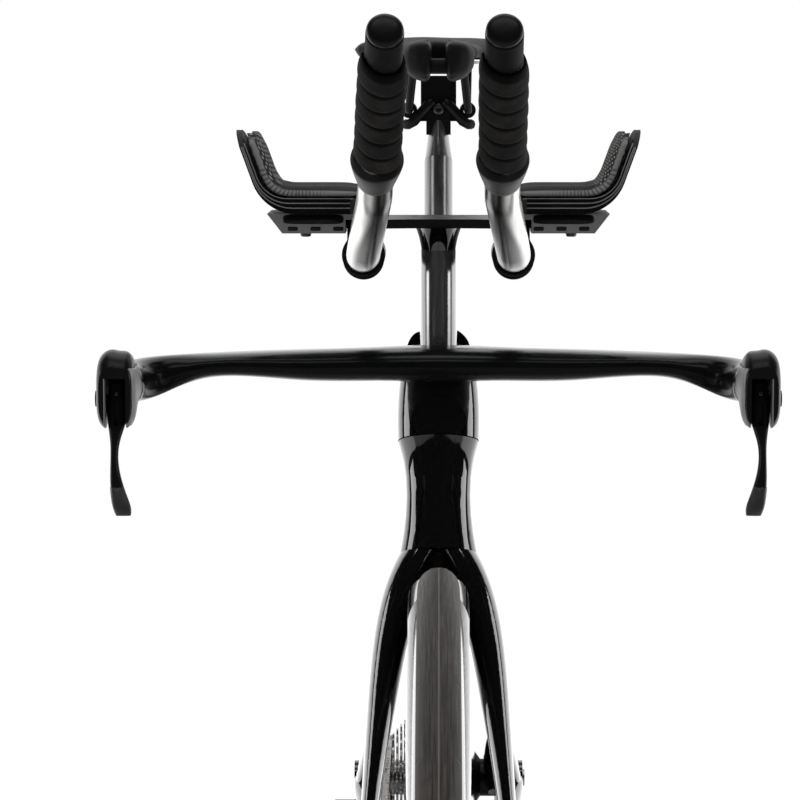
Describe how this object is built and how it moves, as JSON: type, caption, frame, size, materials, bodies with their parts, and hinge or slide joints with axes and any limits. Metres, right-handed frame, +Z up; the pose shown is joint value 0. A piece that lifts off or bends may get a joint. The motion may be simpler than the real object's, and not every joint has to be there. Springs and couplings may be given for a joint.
{
  "type": "time trial bike",
  "caption": "Racing bicycle with a low base bar, forward extensions with arm pads, a split-nose saddle, a deep front rim and a closed rear disc wheel.",
  "frame": {"origin": "on the ground, midway between the wheels' ground contacts, in the bicycle's middle plane", "axes": "+Z up, -Y the way the bicycle rides, +X the rider's left"},
  "size_m": [0.4282, 1.676, 1.0153],
  "materials": {
    "gloss_carbon": "glossy black carbon",
    "satin_carbon": "satin black carbon",
    "black_plastic": "matt black",
    "black_metal": "black anodised",
    "grey_metal": "bead-blasted",
    "steel": "brushed",
    "tyre_rubber": "matt tread",
    "pad_fabric": "woven cover over foam",
    "grip_tape": "matt wound tape",
    "saddle_cover": "satin cover"
  },
  "bodies": {
    "frame": {"frame": "gloss_carbon", "headset_bearings": "black_metal", "bottom_bracket": "grey_metal", "storage_box": "gloss_carbon", "derailleur_body": "black_plastic", "derailleur_hanger": "black_metal", "rear_axle": "steel", "rear_caliper": "black_metal", "chain": "steel"},
    "lid": {"storage_lid": "gloss_carbon"},
    "saddle": {"seatpost": "gloss_carbon", "rail_clamp": "black_metal", "saddle_rails": "steel", "saddle_shell": "satin_carbon", "saddle_pad": "saddle_cover"},
    "steering": {"fork": "gloss_carbon", "stem": "gloss_carbon", "base_bar": "satin_carbon", "lower_riser": "gloss_carbon", "upper_riser": "gloss_carbon", "riser_cap": "gloss_carbon", "bridge_plate": "black_metal", "extension_clamps": "black_metal", "left_extension": "gloss_carbon", "right_extension": "gloss_carbon", "left_grip_tape": "grip_tape", "right_grip_tape": "grip_tape", "left_shifter": "black_plastic", "right_shifter": "black_plastic", "pad_brackets": "grey_metal", "left_arm_cup": "satin_carbon", "right_arm_cup": "satin_carbon", "left_arm_pad": "pad_fabric", "right_arm_pad": "pad_fabric", "left_lever_body": "black_plastic", "right_lever_body": "black_plastic", "front_caliper": "black_metal", "front_axle": "steel"},
    "left_brake_lever": {"left_brake_lever": "black_metal"},
    "right_brake_lever": {"right_brake_lever": "black_metal"},
    "left_shift_button": {"left_shift_button": "black_plastic"},
    "right_shift_button": {"right_shift_button": "black_plastic"},
    "front_wheel": {"front_tyre": "tyre_rubber", "front_rim": "gloss_carbon", "front_spokes": "steel", "front_hub": "black_metal", "front_rotor": "steel"},
    "rear_wheel": {"rear_tyre": "tyre_rubber", "rear_disc": "gloss_carbon", "rear_hub": "black_metal", "rear_rotor": "steel"},
    "cassette": {"cassette": "steel"},
    "cranks": {"right_crank": "gloss_carbon", "left_crank": "gloss_carbon", "chainring": "steel"},
    "left_pedal": {"left_pedal": "black_plastic"},
    "right_pedal": {"right_pedal": "black_plastic"},
    "derailleur_cage": {"derailleur_cage": "black_metal"},
    "upper_jockey_wheel": {"upper_jockey_wheel": "black_plastic"},
    "lower_jockey_wheel": {"lower_jockey_wheel": "black_plastic"}
  },
  "joints": [
    {"name": "steer", "type": "hinge", "parent": "frame", "child": "steering", "pos_m": [0, -0.45708, 0.32447], "axis": [0, 0.3007, 0.9537], "range_deg": [-50, 50]},
    {"name": "front_wheel_spin", "type": "hinge", "parent": "steering", "child": "front_wheel", "pos_m": [0, -0.5, 0.338], "axis": [1, 0, 0], "continuous": true},
    {"name": "rear_wheel_spin", "type": "hinge", "parent": "frame", "child": "rear_wheel", "pos_m": [0, 0.5, 0.338], "axis": [1, 0, 0], "continuous": true},
    {"name": "crank_spin", "type": "hinge", "parent": "frame", "child": "cranks", "pos_m": [0, 0.0984, 0.266], "axis": [1, 0, 0], "continuous": true, "deforming": ["chain"]},
    {"name": "cassette_spin", "type": "hinge", "parent": "frame", "child": "cassette", "pos_m": [0, 0.5, 0.338], "axis": [1, 0, 0], "continuous": true},
    {"name": "left_pedal_spin", "type": "hinge", "parent": "cranks", "child": "left_pedal", "pos_m": [0.072, 0.2684, 0.266], "axis": [1, 0, 0], "continuous": true},
    {"name": "right_pedal_spin", "type": "hinge", "parent": "cranks", "child": "right_pedal", "pos_m": [-0.072, -0.0716, 0.266], "axis": [1, 0, 0], "continuous": true},
    {"name": "cage_swing", "type": "hinge", "parent": "frame", "child": "derailleur_cage", "pos_m": [0, 0.506, 0.262], "axis": [1, 0, 0], "range_deg": [-12, 12], "stiffness_Nm_per_rad": 2},
    {"name": "upper_jockey_spin", "type": "hinge", "parent": "derailleur_cage", "child": "upper_jockey_wheel", "pos_m": [0, 0.506, 0.262], "axis": [1, 0, 0], "continuous": true},
    {"name": "lower_jockey_spin", "type": "hinge", "parent": "derailleur_cage", "child": "lower_jockey_wheel", "pos_m": [0, 0.47967, 0.21032], "axis": [1, 0, 0], "continuous": true},
    {"name": "left_brake", "type": "hinge", "parent": "steering", "child": "left_brake_lever", "pos_m": [0.198, -0.488, 0.783], "axis": [1, 0, 0], "range_deg": [0, 20], "stiffness_Nm_per_rad": 1, "springref_deg": -8.59},
    {"name": "right_brake", "type": "hinge", "parent": "steering", "child": "right_brake_lever", "pos_m": [-0.198, -0.488, 0.783], "axis": [1, 0, 0], "range_deg": [0, 20], "stiffness_Nm_per_rad": 1, "springref_deg": -8.59},
    {"name": "left_shift", "type": "slide", "parent": "steering", "child": "left_shift_button", "axis": [-0.0057, -0.4715, -0.8818], "range_m": [0, 0.0012], "stiffness_N_per_m": 1000, "springref_m": -0.001},
    {"name": "right_shift", "type": "slide", "parent": "steering", "child": "right_shift_button", "axis": [0.0235, -0.4706, -0.8821], "range_m": [0, 0.0012], "stiffness_N_per_m": 1000, "springref_m": -0.001},
    {"name": "seat_height", "type": "slide", "parent": "frame", "child": "saddle", "axis": [0, 0.2079, 0.9781], "range_m": [-0.06, 0.04]},
    {"name": "box_lid", "type": "hinge", "parent": "frame", "child": "lid", "pos_m": [0, -0.07368, 0.766], "axis": [-1, 0, 0], "range_deg": [0, 100]}
  ],
  "couplings": [
    {"joint": "cassette_spin", "follows": "crank_spin", "ratio": 3.1765},
    {"joint": "upper_jockey_spin", "follows": "crank_spin", "ratio": -4.5},
    {"joint": "lower_jockey_spin", "follows": "crank_spin", "ratio": 4.5}
  ]
}
